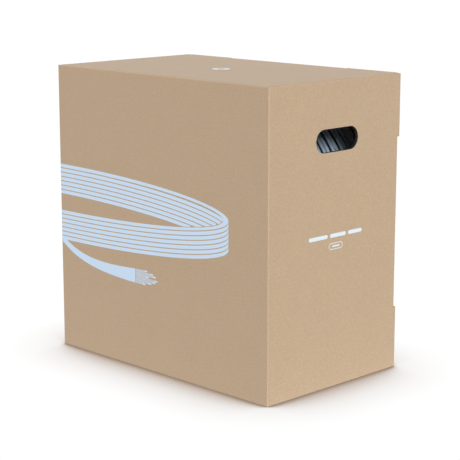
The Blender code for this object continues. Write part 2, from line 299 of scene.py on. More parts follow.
def paint_groove_shade(material, crest, start, end, darkest):
    """Painted shade between the turns of the cable, darker the further below the winding's crest it
    lies.
    """
    tree = material.node_tree
    base = tree.nodes["Principled BSDF"].inputs["Base Color"]
    unshaded = base.links[0].from_socket
    parts = xyz(tree, rest_place(tree))
    height = calc(tree, "SUBTRACT", parts[2], AXIS_Z)
    square = scaled(tree, parts[0], parts[0], calc(tree, "MULTIPLY", height, height))
    depth = calc(tree, "SUBTRACT", crest, calc(tree, "SQRT", square))
    keep = remap(tree, depth, start, end, 1.0, darkest)
    tree.links.new(mix(tree, 1.0, unshaded, keep, "MULTIPLY"), base)


def spiral_paper(name, pale, dark, lead):
    """A spirally wound paper tube about the reel's axis, with its wrap seam."""
    material, tree, shader = new_material(name, Specular_IOR_Level=0.3)
    place = rest_place(tree)
    parts = xyz(tree, place)
    angle = calc(tree, "ARCTAN2", calc(tree, "SUBTRACT", parts[2], AXIS_Z), parts[0])
    turn = scaled(tree, angle, 1 / (2 * math.pi), calc(tree, "DIVIDE", parts[1], lead))
    seam = calc(tree, "PINGPONG", turn, 0.5)
    line = remap(tree, seam, 0.0, 0.03, 1.0, 0.0)
    fibres = noise(tree, place, 500.0, 4.0, 0.65)
    paper = mix(tree, remap(tree, fibres, 0.3, 0.7), colour(*pale), colour(*dark))
    paper = mix(tree, calc(tree, "MULTIPLY", line, 0.7), paper, colour(*(c * 0.35 for c in dark)))
    rough = scaled(tree, fibres, 0.2, 0.7)
    dress(tree, shader, paper, rough, calc(tree, "SUBTRACT", fibres, line), 0.5, 0.2 * MM)
    return material


KRAFT_WARM = (0.430, 0.304, 0.194)
KRAFT_GREY = (0.410, 0.304, 0.204)
# crease colour: rubbed wear together with a painted highlight
KRAFT_WORN_HIGHLIGHT = (0.500, 0.358, 0.232)

LINER_OUT = kraft("kraft_liner", KRAFT_WARM, KRAFT_GREY, KRAFT_WORN_HIGHLIGHT)
LINER_FOLD = kraft("kraft_fold", KRAFT_WARM, KRAFT_GREY, KRAFT_WORN_HIGHLIGHT, from_attribute=True)
LINER_IN = kraft("kraft_inside", (0.430, 0.300, 0.190), (0.400, 0.295, 0.200), (0.48, 0.35, 0.24),
                 rub_and_highlight=0.0)
MEDIUM_PAPER = medium_paper("fluted_medium", (0.40, 0.275, 0.170), (0.30, 0.200, 0.120))
# near-black lip round the hand holes: painted shade on the board's cut edge
HOLE_EDGE_SHADE = mottled("hand_hole_edge_painted_shade", (0.010, 0.011, 0.013), (0.022, 0.023, 0.026), 90.0,
                    (0.55, 0.75), 0.3)
PRINT_BLUE = ink("print_blue", (0.520, 0.645, 0.790), (0.44, 0.40, 0.36), 0.80)
PRINT_WHITE = ink("print_white", (0.600, 0.690, 0.740), (0.46, 0.40, 0.34), 0.80)
TUBE_PAPER = spiral_paper("tube_paper", (0.36, 0.26, 0.17), (0.27, 0.19, 0.12), 60 * MM)
FIBREBOARD = mottled("flange_board", (0.290, 0.292, 0.298), (0.370, 0.368, 0.362), 45.0,
                     (0.62, 0.80), 0.4, Specular_IOR_Level=0.35)
PLASTIC = mottled("white_moulding", (0.74, 0.75, 0.75), (0.80, 0.81, 0.80), 14.0,
                  (0.32, 0.46), 0.12, Subsurface_Weight=0.05)
ZINC = mottled("zinc_plate", (0.60, 0.62, 0.64), (0.70, 0.69, 0.64), 160.0, (0.24, 0.42), 0.25,
               Metallic=1.0)
JACKET = mottled("jacket_blue", (0.385, 0.485, 0.605), (0.425, 0.530, 0.655), 20.0, (0.26, 0.36),
                 0.15, Coat_Weight=0.15, Coat_Roughness=0.25)
# the cable jacket gets painted shade in the grooves between its turns
paint_groove_shade(JACKET, crest=WINDING_BOX[1].x, start=1.0 * MM, end=2.8 * MM, darkest=0.10)


# ==== Mesh helpers

def place_point(plane, level, first, second):
    values = dict(zip(PLANES[plane], (level, first, second)))
    return [values[axis] for axis in range(3)]


def loops_body(loops, closed_profile=False):
    """A closed body through loops of points: capped at both ends, or joined last to first."""
    bm = bmesh.new()
    rows = [[bm.verts.new(point) for point in loop] for loop in loops]
    pairs = list(zip(rows, rows[1:]))
    if closed_profile:
        pairs.append((rows[-1], rows[0]))
    else:
        bm.faces.new(rows[0])
        bm.faces.new(rows[-1][::-1])
    for upper, lower in pairs:
        for i in range(len(upper)):
            j = (i + 1) % len(upper)
            bm.faces.new((upper[j], upper[i], lower[i], lower[j]))
    bmesh.ops.recalc_face_normals(bm, faces=bm.faces)
    return bm


def new_object(name, data):
    obj = bpy.data.objects.new(name, data)
    bpy.context.scene.collection.objects.link(obj)
    return obj


def bm_object(name, bm):
    mesh = bpy.data.meshes.new(name)
    bm.to_mesh(mesh)
    bm.free()
    return new_object(name, mesh)


def combine(bm_first, bm_second, operation):
    """Boolean of two closed bodies, as a new bmesh."""
    first, second = bm_object("first", bm_first), bm_object("second", bm_second)
    modifier = first.modifiers.new("combine", "BOOLEAN")
    modifier.operation = operation
    modifier.solver = "EXACT"
    modifier.object = second
    evaluated = first.evaluated_get(bpy.context.evaluated_depsgraph_get())
    result = bmesh.new()
    result.from_mesh(evaluated.to_mesh())
    evaluated.to_mesh_clear()
    for obj in (first, second):
        mesh = obj.data
        bpy.data.objects.remove(obj)
        bpy.data.meshes.remove(mesh)
    return result


def gather(parts):
    """One mesh from several bodies, each given as (bmesh, material index)."""
    mesh = bpy.data.meshes.new("gathered")
    whole = bmesh.new()
    for bm, index in parts:
        for face in bm.faces:
            face.material_index = index
        bm.to_mesh(mesh)
        bm.free()
        whole.from_mesh(mesh)
    bpy.data.meshes.remove(mesh)
    return whole


def finish_piece(name, bm, materials, body=None, stands_for=(), sharp=35.0):
    obj = bm_object(name, bm)
    for material in materials:
        obj.data.materials.append(material)
    obj.data.shade_smooth()
    obj.data.set_sharp_from_angle(angle=math.radians(sharp))
    if body is not None:
        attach(obj, body)
    if stands_for:
        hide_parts(*stands_for)
    return obj


def keep_rest_place(obj):
    """Stores each point's place at rest as an attribute."""
    attribute = obj.data.attributes.new("rest", "FLOAT_VECTOR", "POINT")
    attribute.data.foreach_set("vector", [value for v in obj.data.vertices for value in v.co])


def stadium(length, height, middle=(0.0, 0.0), grow=0.0, steps=20):
    """Outline of a slot with round ends; a circle where both sizes are the same."""
    half = (length - height) / 2
    radius = height / 2 + grow
    points = []
    for end, start_angle in ((half, -90), (-half, 90)):
        for k in range(steps + 1 if half > 0 else steps):
            angle = math.radians(start_angle + 180 * k / steps)
            points.append((end + radius * math.cos(angle) + middle[0],
                           radius * math.sin(angle) + middle[1]))
    return points


def arc(centre, radius, start, end, steps=4):
    """Points of an arc, angles in degrees."""
    angles = [math.radians(start + (end - start) * k / steps) for k in range(steps + 1)]
    return [(centre[0] + radius * math.cos(a), centre[1] + radius * math.sin(a)) for a in angles]


def turned(profile, segments, centre=(0.0, AXIS_Z), axis="y", capped=False):
    """A body turned about a line along X or Y through centre, from (radius, place) points."""
    loops = []
    for radius, place in profile:
        loop = []
        for k in range(segments):
            angle = 2 * math.pi * k / segments
            across = centre[0] + radius * math.cos(angle)
            height = centre[1] + radius * math.sin(angle)
            loop.append((across, place, height) if axis == "y" else (place, across, height))
        loops.append(loop)
    return loops_body(loops, closed_profile=not capped)


# ==== Corrugated board

def outline_of(edges):
    """Corner points from edges (direction, place, kind); a point's kind is its next edge's."""
    points = []
    for before, after in zip([edges[-1]] + edges[:-1], edges):
        place = {before[0]: before[1], after[0]: after[1]}
        points.append((place[0], place[1], after[2]))
    return points


def two_sided(first, half, last):
    """An outline whose edges on the far side mirror those of the given half."""
    other = [(way, place if way else -place, kind) for way, place, kind in reversed(half)]
    return outline_of([first, *half, last, *other])


def anticlockwise(points):
    """The outline run the other way round where it is clockwise, its kinds with their edges."""
    area = sum(a[0] * b[1] - b[0] * a[1] for a, b in zip(points, points[1:] + points[:1]))
    if area > 0:
        return points
    kinds = [p[2] for p in points]
    back = points[::-1]
    return [(p[0], p[1], kinds[(len(points) - 2 - i) % len(points)]) for i, p in enumerate(back)]


def moved_in(points, insets):
    """The outline with each edge moved in by the distance that its kind says."""
    count = len(points)
    lines = []
    for i in range(count):
        start = Vector(points[i][:2])
        along = (Vector(points[(i + 1) % count][:2]) - start).normalized()
        inward = Vector((-along.y, along.x))
        lines.append((start + inward * insets[points[i][2]], along))
    moved = []
    for i in range(count):
        (p, d), (q, e) = lines[i - 1], lines[i]
        step = ((q.x - p.x) * e.y - (q.y - p.y) * e.x) / (d.x * e.y - d.y * e.x)
        moved.append((p.x + d.x * step, p.y + d.y * step))
    return moved


def mitred(depth, cut=0.0):
    """How far each kind of edge lies in at a depth below the outer face."""
    return {"fold": depth, "hinge": depth + MEET_GAP, "meet": depth + MEET_GAP, "cut": cut}


def outer_liner_rings():
    """(depth, insets) down the outer liner: flat face, rounded crease, underside."""
    flat = SKIN + CREASE_RADIUS
    lead_in = 0.4 * MM

    def insets(crease, cut):
        return {"fold": crease, "meet": crease + MEET_GAP, "hinge": flat, "cut": cut}

    first = insets(flat + lead_in, EASED_EDGE + lead_in)
    first["hinge"] = flat + lead_in
    rings = [(SKIN, first)]
    for k in range(CREASE_STEPS + 1):
        angle = math.radians(45 * k / CREASE_STEPS)
        depth = SKIN + CREASE_RADIUS * (1 - math.cos(angle))
        crease = SKIN + CREASE_RADIUS * (1 - math.sin(angle))
        rings.append((depth, insets(crease, EASED_EDGE if k == 0 else 0.0)))
    rings.append((SKIN + OUTER_LINER, insets(SKIN + OUTER_LINER, 0.0)))
    return rings


class Board:
    """One piece of corrugated board on a plane; depth runs from its outer face inwards."""

    def __init__(self, plane, level, inward, points, thickness=BOARD, holes=()):
        self.plane = plane
        self.level = level
        self.inward = inward
        self.points = anticlockwise(points)
        self.thickness = thickness
        self.holes = holes
        self.parts = []

    def loop(self, depth, outline):
        return [self.point(depth, a, b) for a, b in outline]

    def point(self, depth, first, second):
        return place_point(self.plane, self.level + self.inward * depth, first, second)

    def add(self, bm, index):
        for outline in self.holes:
            cutter = loops_body([self.loop(depth, outline) for depth in (-MM, self.thickness + MM)])
            bm = combine(bm, cutter, "DIFFERENCE")
        self.parts.append((bm, index))

    def outer_liner(self):
        self.add(loops_body([self.loop(depth, moved_in(self.points, insets))
                             for depth, insets in outer_liner_rings()]), OUTSIDE)

    def liner(self, start):
        self.add(loops_body([self.loop(depth, moved_in(self.points, mitred(depth)))
                             for depth in (start, start + LINER)]), INSIDE)

    def medium(self, start, end, pitch=FLUTE_PITCH):
        """Fluted paper between two depths, waving along the plane's first direction."""
        clip = loops_body([self.loop(depth, moved_in(self.points, mitred(depth, MEDIUM_RECESS)))
                           for depth in (start, end)])
        lows = [min(p[i] for p in self.points) - pitch for i in (0, 1)]
        highs = [max(p[i] for p in self.points) + pitch for i in (0, 1)]
        steps = math.ceil((highs[0] - lows[0]) / pitch) * FLUTE_STEPS
        middle = (start + end) / 2
        swing = (end - start - MEDIUM) / 2 - LINER_CLEARANCE
        upper, lower = [], []
        for k in range(steps + 1):
            place = lows[0] + k * pitch / FLUTE_STEPS
            depth = middle + swing * math.sin(2 * math.pi * place / pitch)
            upper.append((place, depth - MEDIUM / 2))
            lower.append((place, depth + MEDIUM / 2))
        loops = [[self.point(depth, place, end_place) for place, depth in upper + lower[::-1]]
                 for end_place in (lows[1], highs[1])]
        self.add(combine(clip, loops_body(loops), "INTERSECT"), FLUTED)

    def rim(self, outline_at):
        """A die-cut lip round a hand hole, coloured near-black as painted shade; outline_at gives the
        hole grown by a distance.
        """
        ease, far = EASED_EDGE, self.thickness - SKIN
        profile = [(SKIN, RIM), (SKIN, ease), (SKIN + ease, 0.0),
                   (far - ease, 0.0), (far, ease), (far, RIM)]
        loops = [self.loop(depth, outline_at(grow)) for depth, grow in profile]
        self.parts.append((loops_body(loops, closed_profile=True), LIP))


def single_wall(name, board, body="carton", rim_outline=None):
    """Outer liner, one fluted medium and an inner liner."""
    inner = board.thickness - SKIN - LINER
    board.outer_liner()
    board.medium(SKIN + OUTER_LINER, inner)
    board.liner(inner)
    if rim_outline is not None:
        board.rim(rim_outline)
    finish_piece(name, gather(board.parts), (LINER_OUT, LINER_IN, MEDIUM_PAPER, HOLE_EDGE_SHADE),
                 body, (name,))


def double_wall(name, board):
    """Three liners with a fluted medium in each space between them."""
    space = (board.thickness - 2 * SKIN - 3 * LINER) / 2
    depth = SKIN
    for _ in range(3):
        board.liner(depth)
        depth += LINER
        if depth + space < board.thickness:
            board.medium(depth, depth + space, DOUBLE_WALL_PITCH)
            depth += space
    finish_piece(name, gather(board.parts), (LINER_OUT, LINER_IN, MEDIUM_PAPER),
                 "carton", (name,))


def lid_outline(kinds):
    """Top or bottom panel; kinds says how its front, side, tab and middle edges are joined."""
    half = [(0, SIDE, kinds["side"]), (1, REAR_PANEL, "cut"), (0, TAB_OUT, "cut"),
            (1, REAR, kinds["tab"]), (0, TAB_IN, "cut")]
    return two_sided((1, FRONT, kinds["front"]), half, (1, REAR_PANEL, kinds["middle"]))


def wall_outline():
    return outline_of([
        (1, 0.0, "fold"), (0, REAR, "fold"), (1, WALL_TAB, "cut"), (0, REAR_PANEL, "fold"),
        (1, TOP - WALL_TAB, "cut"), (0, REAR, "fold"), (1, TOP, "meet"), (0, FRONT, "fold"),
    ])


def rear_outline():
    """Creased in the middle of each side, square-cut behind the corner tabs."""
    ear = TAB_IN - GAP
    side = SIDE - BOARD - GAP
    low = BOARD + GAP
    corner_low, corner_high = WALL_TAB + GAP, TOP - WALL_TAB - GAP
    half = [(0, ear, "cut"), (1, low, "cut"), (0, side, "cut"), (1, corner_low, "cut"),
            (0, SIDE, "fold"),
            (1, corner_high, "cut"), (0, side, "cut"), (1, TOP - low, "cut"), (0, ear, "cut")]
    return two_sided((1, 0.0, "fold"), half, (1, TOP, "meet"))


def front_outline():
    return two_sided((1, 0.0, "fold"), [(0, SIDE, "fold")], (1, TOP, "hinge"))


def hand_hole(grow=0.0):
    return stadium(*HAND_HOLE, (0.0, HAND_HOLE_Z), grow)


def round_hole(radius, height):
    return stadium(2 * radius, 2 * radius, (0.0, height), steps=32)


def build_panels():
    single_wall("carton_front_panel", Board("y", FRONT, 1, front_outline()))
    single_wall("carton_rear_panel", Board("y", REAR_PANEL, -1, rear_outline()))
    bottom = lid_outline({"front": "fold", "side": "fold", "tab": "fold", "middle": "fold"})
    single_wall("carton_bottom_panel", Board("z", 0.0, 1, bottom))
    lid = lid_outline({"front": "hinge", "side": "meet", "tab": "hinge", "middle": "meet"})
    single_wall("carton_lid", Board("z", TOP, -1, lid), "lid")
    for label, sign in WALLS:
        holes = [hand_hole(RIM)]
        if label == "left":
            holes.append(round_hole(PAYOUT_RADIUS, PAYOUT_Z))
        board = Board("x", sign * SIDE, -sign, wall_outline(), holes=holes)
        single_wall("carton_" + label + "_wall", board, rim_outline=hand_hole)


def build_tabs():
    """Four corners, each with a tab of the wall and one of the lid or bottom that meet in a mitre."""
    half = MITRE_HALF_GAP
    tab_reach = SIDE - TAB_OUT
    inner = SIDE - TAB_IN
    wall_tab = [(0.0, half, "fold"), (0.0, WALL_TAB, "cut"), (WALL_TAB - half, WALL_TAB, "cut")]
    for label, sign in WALLS:
        for level, joint, name, body in (("upper", "hinge", "lid_tab_", "lid_tab_" + label),
                                         ("lower", "fold", "bottom_tab_", "carton")):
            lid_tab = [(tab_reach, 0.0, joint), (inner, 0.0, "cut"), (inner, WALL_TAB, "cut"),
                       (WALL_TAB + half, WALL_TAB, "cut"), (tab_reach, tab_reach - half, "cut")]
            for piece, rides, outline in ((label + "_wall_tab_" + level, "carton", wall_tab),
                                          (name + label, body, lid_tab)):
                placed = [(sign * (SIDE - a), TOP - b if level == "upper" else b, kind)
                          for a, b, kind in outline]
                single_wall(piece, Board("y", REAR, -1, placed, TAB_THICKNESS), rides)


def cut_rectangle(low, high, first, second):
    """Outline of a plain cut piece between two corners, in two of the world's directions."""
    return outline_of([(1, low[second], "cut"), (0, high[first], "cut"),
                       (1, high[second], "cut"), (0, low[first], "cut")])


def build_inner_boards():
    for label in ("left", "right", "bottom"):
        low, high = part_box("glue_flap_" + label)
        board = Board("y", low.y, 1, cut_rectangle(low, high, 0, 2), high.y - low.y)
        single_wall("glue_flap_" + label, board)
    low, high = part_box("base_pad")
    board = Board("z", high.z, -1, cut_rectangle(low, high, 0, 1), high.z - low.z)
    single_wall("base_pad", board)
    for label, (low, high) in PAD_BOX.items():
        board = Board("y", low.y, 1, cut_rectangle(low, high, 0, 2), high.y - low.y,
                      [round_hole(AXLE_HOLE, AXIS_Z)])
        double_wall("axle_pad_" + label, board)


def crease_strip(name, corner, sizes, x_range, stands_round):
    """A liner strip bent round a hinge crease.

    corner is the (y, z) of the arc's centre, sizes its outer and inner radius, and
    stands_round the (start, end) angles in degrees, from the first body to the second.
    """
    outer, inner = sizes
    start, end = stands_round
    bends, lengths = 10, 24
    section = arc(corner, outer, start, end, bends) + arc(corner, inner, end, start, bends)
    loops = []
    for k in range(lengths + 1):
        x = x_range[0] + (x_range[1] - x_range[0]) * k / lengths
        loops.append([(x, y, z) for y, z in section])
    obj = finish_piece(name, loops_body(loops), (LINER_FOLD,), sharp=50.0)
    keep_rest_place(obj)
    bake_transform(obj)


def build_creases():
    flat = SKIN + CREASE_RADIUS
    outer = (CREASE_RADIUS, CREASE_RADIUS - LINER)
    inside = (INNER_BEAD, INNER_BEAD - LINER)
    end = SIDE - SKIN - 0.35 * CREASE_RADIUS
    inner_end = SIDE - BOARD - GAP
    crease_strip("fold_lid_outside", (FRONT + flat, TOP - flat), outer, (-end, end), (180, 90))
    crease_strip("fold_lid_inside", (FRONT + BOARD - SKIN, TOP - BOARD + SKIN), inside,
                 (-inner_end, inner_end), (-90, 0))
    for label, x_range in (("right", (TAB_IN, TAB_OUT)), ("left", (-TAB_OUT, -TAB_IN))):
        crease_strip("fold_tab_" + label, (REAR - flat, TOP - flat), outer, x_range, (90, 0))


# ==== Print on the carton

COIL_FRONT = 335.5 * MM
COIL_LEFT = 196 * MM
COIL_HALF_HEIGHT = 35.3 * MM
COIL_TOP_Z = 226.4 * MM
STRANDS = 7
STRAND_PITCH = 6.17 * MM
STRAND_LINE = 1.4 * MM
STRAND_END = 9.5 * MM
TAIL_START, TAIL_CUT = -4 * MM, 157 * MM
TAIL_LOW_Z = 115.4 * MM
TAIL_DROP, TAIL_DROP_LENGTH = 37 * MM, 50 * MM
TAIL_WIDTH, TAIL_SWELL, TAIL_SWELL_LENGTH = 9 * MM, 11.1 * MM, 160 * MM
# Bare cores at the free end, from the top down: length and rise or fall along it, in mm
CORES = ((23, 0.7), (35, 0.4), (40, 0.0), (26, 0.0), (43, -0.2), (39, -0.4), (31, -0.4), (19, -0.4))
CORE_LINE = 0.75 * MM
CORE_TIP = 6.0 * MM
CORE_GAP = 0.32 * MM
CORE_STEPS = 12
BARS = ((-51.5 * MM, -16.0 * MM), (-11.5 * MM, 19.0 * MM), (23.5 * MM, 50.5 * MM))
BAR_HEIGHT = 5.0 * MM
BAR_Z = 201.2 * MM
PILL = (26.4 * MM, 8.7 * MM)
PILL_LINE = 0.9 * MM
PILL_BAR = (14 * MM, 2 * MM)
PILL_Z = 187.3 * MM
RING_OUTER, RING_INNER = 25 * MM, 12 * MM
RING_Y = -7 * MM
PRINT_PROUD = 0.06 * MM
PRINT_SUNK = 0.03 * MM


def wrapped(s, height, proud):
    """A printed point: s runs round the front left crease, negative on the left wall."""
    flat = SKIN + CREASE_RADIUS
    bend = CREASE_RADIUS * math.pi / 4
    if s > bend:
        return (-SIDE + flat + s - bend, FRONT + SKIN - proud, height)
    if s < -bend:
        return (-SIDE + SKIN - proud, FRONT + flat - s - bend, height)
    angle = math.pi * 1.25 + s / CREASE_RADIUS
    radius = CREASE_RADIUS + proud
    return (-SIDE + flat + radius * math.cos(angle), FRONT + flat + radius * math.sin(angle), height)


def ribbon(columns):
    """A thin printed body from columns (s, low, high), wrapped round the crease."""
    loops = []
    for s, low, high in columns:
        loops.append([wrapped(s, low, PRINT_PROUD), wrapped(s, high, PRINT_PROUD),
                      wrapped(s, high, -PRINT_SUNK), wrapped(s, low, -PRINT_SUNK)])
    return loops_body(loops)


def stations(start, end):
    """Places along the print, closer together at both ends and over the crease."""
    count = 90
    spread = [start + (end - start) * (1 - math.cos(math.pi * k / count)) / 2 for k in range(count + 1)]
    bend = CREASE_RADIUS * math.pi / 4
    over = [bend * k / 4 for k in range(-4, 5) if start < bend * k / 4 < end]
    away = [s for s in spread if not (-bend <= s <= bend and s not in (start, end))]
    return sorted(away + over)


def rise(s, inset=0.0):
    """Height of the loop's curve over its middle line, as a share, with its ends pulled in."""
    reach = (COIL_FRONT if s > 0 else COIL_LEFT) - inset
    return math.sqrt(max(0.0, 1 - (s / reach) ** 2))


def cropped(columns):
    """Runs of columns that have some height left."""
    least = 0.02 * MM
    runs, run = [], []
    for column in columns:
        if column[2] - column[1] > least:
            run.append(column)
        elif run:
            runs.append(run)
            run = []
    return [r for r in runs + [run] if len(r) > 1]


def coil_columns():
    """Columns of every strand of the printed coil: a stack of rings seen a little from above."""
    half = COIL_HALF_HEIGHT
    thick = STRAND_PITCH - STRAND_LINE
    inner_half = half - thick
    ends = (-COIL_LEFT, COIL_FRONT)
    inner_ends = (-COIL_LEFT + STRAND_END, COIL_FRONT - STRAND_END)
    result = []

    def near_inner(s):
        return COIL_TOP_Z - inner_half * rise(s, STRAND_END)

    ring = stations(*inner_ends)
    result.append([(s, COIL_TOP_Z + inner_half * rise(s, STRAND_END), COIL_TOP_Z + half * rise(s))
                   for s in ring])
    result.append([(s, COIL_TOP_Z - half * rise(s), near_inner(s)) for s in ring])
    for pair in ((ends[0], inner_ends[0]), (inner_ends[1], ends[1])):
        result.append([(s, COIL_TOP_Z - half * rise(s), COIL_TOP_Z + half * rise(s))
                       for s in stations(*pair)])
    for k in range(1, STRANDS):
        centre = COIL_TOP_Z - k * STRAND_PITCH
        result.append([(s, centre - half * rise(s), centre + thick - half * rise(s))
                       for s in stations(*ends)])
        far = []
        for s in stations(*inner_ends):
            high = centre + half * rise(s)
            low = max(high - thick, near_inner(s) + STRAND_LINE * 0.6)
            inside = COIL_TOP_Z + inner_half * rise(s, STRAND_END) - STRAND_LINE * 0.8
            far.append((s, low, min(high, inside)))
        result.append(far)
    return result


def tail_columns():
    """The free end of the printed cable: it leaves the lowest strand and ends in plain cores."""
    lowest = COIL_TOP_Z - (STRANDS - 1) * STRAND_PITCH
    body = []
    steps = 80
    for k in range(steps + 1):
        s = TAIL_START + (TAIL_CUT - TAIL_START) * k / steps
        low = TAIL_LOW_Z + TAIL_DROP * math.exp(-s / TAIL_DROP_LENGTH)
        width = TAIL_WIDTH + TAIL_SWELL * max(0.0, s / TAIL_SWELL_LENGTH) ** 1.6
        body.append((s, low, min(low + width, lowest - COIL_HALF_HEIGHT * rise(s))))
    return [body] + core_columns(body[-1], TAIL_CUT + STRAND_LINE)


def core_columns(cut, start):
    """Columns of the bare cores: each is drawn as two thin lines that close in a filled tip."""
    low, high = cut[1], cut[2]
    spacing = (high - low) / len(CORES)
    half = (spacing - CORE_GAP) / 2
    result = []
    for index, (length, drop) in enumerate(CORES):
        middle = high - (index + 0.5) * spacing
        end = start + length * MM

        def centre(s):
            return middle + drop * MM * ((s - start) / (end - start)) ** 2

        shaft_end = end - CORE_TIP
        shaft = [start + (shaft_end - start) * k / CORE_STEPS for k in range(CORE_STEPS + 1)]
        result.append([(s, centre(s) + half - CORE_LINE, centre(s) + half) for s in shaft])
        result.append([(s, centre(s) - half, centre(s) - half + CORE_LINE) for s in shaft])
        tip = []
        for k in range(CORE_STEPS + 1):
            s = shaft_end + CORE_TIP * math.sin(math.pi / 2 * k / CORE_STEPS)
            round_off = max(0.0, (s - (end - half)) / half)
            reach = half * math.sqrt(max(0.0, 1 - round_off ** 2))
            tip.append((s, centre(s) - reach, centre(s) + reach))
        result.append(tip)
    return result


def flat_print(plane, level, inward, outline, inner=None):
    """A thin printed patch on a flat panel, or a ring where an inner outline is given."""
    def loop(points, depth):
        return [place_point(plane, level + inward * depth, a, b) for a, b in points]

    over, under = SKIN - PRINT_PROUD, SKIN + PRINT_SUNK
    loops = [loop(outline, over), loop(outline, under)]
    if inner is not None:
        loops += [loop(inner, under), loop(inner, over)]
    return loops_body(loops, closed_profile=inner is not None)


def build_prints():
    for name, drawing in (("print_coil", coil_columns()), ("print_cable_end", tail_columns())):
        parts = [(ribbon(run), 0) for columns in drawing for run in cropped(columns)]
        finish_piece(name, gather(parts), (PRINT_BLUE,), "carton", sharp=40.0)
    badge = (0.0, PILL_Z)
    pill_inside = (size - 2 * PILL_LINE for size in PILL)
    outlines = [(stadium(end - start, BAR_HEIGHT, ((start + end) / 2, BAR_Z)),) for start, end in BARS]
    outlines += [(stadium(*PILL, badge), stadium(*pill_inside, badge)), (stadium(*PILL_BAR, badge),)]
    bars = [(flat_print("x", SIDE, -1, *patch), 0) for patch in outlines]
    finish_piece("print_wall_bars", gather(bars), (PRINT_WHITE,), "carton")
    ring = [stadium(size, size, (0.0, RING_Y), steps=32) for size in (RING_OUTER, RING_INNER)]
    finish_piece("print_lid_ring", flat_print("z", TOP, -1, *ring), (PRINT_WHITE,), "lid")


# ==== Reel and cable

CABLE_RADIUS = 3.4 * MM
PAIR_SPACING = 6.85 * MM
BANDS = 11
BAND_SHIFT = -6.5 * MM
END_ROOM = 0.25 * MM
LOWER_LAYER_DEPTH = 9.5 * MM
LOWER_LAYER_TURNS = 25
CORE_DEPTH = 15.5 * MM
BARREL_RADIUS = 55.3 * MM
HUB_RADIUS = 29.3 * MM
TIE_HOLE_RADIUS = 3.3 * MM
TIE_SHAFT_RADIUS = 3 * MM


def wound_layer(places, radius, steps, sides, seed):
    """One cable wound turn by turn at the given places along the axis, its ends tucked in."""
    rng = random.Random(seed)
    sideways, outwards = 0.2 * MM, 0.12 * MM
    places = [place + rng.uniform(-sideways, sideways) for place in places]
    lifts = [rng.uniform(-outwards, outwards) for _ in places]
    crossing, tuck = 0.18, 0.12
    dive = 7.0 * MM
    first_angle = -2.2
    turns = len(places)
    loops = []
    for k in range(turns * steps + 1):
        turn, share = divmod(k, steps)
        here = min(turn, turns - 1)
        after = min(here + 1, turns - 1)
        ease = max(0.0, (share / steps - 1 + crossing) / crossing)
        ease = ease * ease * (3 - 2 * ease)
        y = places[here] + (places[after] - places[here]) * ease
        reach = radius + lifts[here] + (lifts[after] - lifts[here]) * ease
        from_end = min(k, turns * steps - k) / steps
        if from_end < tuck:
            reach -= dive * (1 - math.sin(math.pi / 2 * from_end / tuck))
        angle = first_angle + 2 * math.pi * k / steps
        loop = []
        for m in range(sides):
            around = 2 * math.pi * m / sides
            r = reach + CABLE_RADIUS * math.cos(around)
            loop.append((r * math.cos(angle), y + CABLE_RADIUS * math.sin(around),
                         AXIS_Z + r * math.sin(angle)))
        loops.append(loop)
    return loops_body(loops)


def build_cable():
    """The outer layer in bands of two turns, the even layer under it and the rest as one core."""
    low, high = WINDING_BOX[0].y, WINDING_BOX[1].y
    outer = WINDING_BOX[1].x
    first, last = low + CABLE_RADIUS + END_ROOM, high - CABLE_RADIUS - END_ROOM
    turns = []
    for k in range(BANDS):
        middle = low + (k + 0.5) * (high - low) / BANDS + BAND_SHIFT
        turns += [middle - PAIR_SPACING / 2, middle + PAIR_SPACING / 2]
    turns = [place for place in turns if place >= first] + [last]
    top = wound_layer(turns, outer - CABLE_RADIUS, steps=120, sides=14, seed=3)
    finish_piece("cable_top_layer", top, (JACKET,), "reel", ("cable_winding",), 60.0)
    step = (high - low - 2 * CABLE_RADIUS) / (LOWER_LAYER_TURNS - 1)
    turns = [low + CABLE_RADIUS + k * step for k in range(LOWER_LAYER_TURNS)]
    lower = wound_layer(turns, outer - CABLE_RADIUS - LOWER_LAYER_DEPTH, steps=90, sides=8, seed=5)
    finish_piece("cable_lower_layer", lower, (JACKET,), "reel", sharp=60.0)
    core = outer - CORE_DEPTH
    profile = [(BARREL_RADIUS, low), (core, low), (core, high), (BARREL_RADIUS, high)]
    finish_piece("cable_core", turned(profile, 96), (JACKET,), "reel")


def tie_centres():
    """Number and middle of each of the four tie bolts, read from the frame."""
    for number in "1234":
        low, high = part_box("tie_nut_" + number)
        yield number, ((low.x + high.x) / 2, (low.z + high.z) / 2)


def replacement(name, bm, material, body="reel", sharp=35.0):
    """A piece that stands in for the CAD node of the same name."""
    finish_piece(name, bm, (material,), body, (name,), sharp)


def mirrored(profile, sign):
    return [(radius, sign * place) for radius, place in profile]


def build_flanges():
    ease, bore_ease = 0.8 * MM, 0.5 * MM
    inner, outer = REEL_INNER, FLANGE_FACE
    profile = [(HUB_RADIUS, inner), (FLANGE_RADIUS - ease, inner)]
    profile += arc((FLANGE_RADIUS - ease, inner + ease), ease, -90, 0)[1:]
    profile += arc((FLANGE_RADIUS - ease, outer - ease), ease, 0, 90)
    profile += [(HUB_RADIUS + bore_ease, outer), (HUB_RADIUS, outer - bore_ease)]
    cutter = [(TIE_HOLE_RADIUS, inner - ease), (TIE_HOLE_RADIUS, outer + ease)]
    for label, sign in REEL_ENDS:
        body = turned(mirrored(profile, sign), 144)
        for _, centre in tie_centres():
            hole = turned(mirrored(cutter, sign), 24, centre, capped=True)
            body = combine(body, hole, "DIFFERENCE")
        replacement("reel_flange_" + label, body, FIBREBOARD)


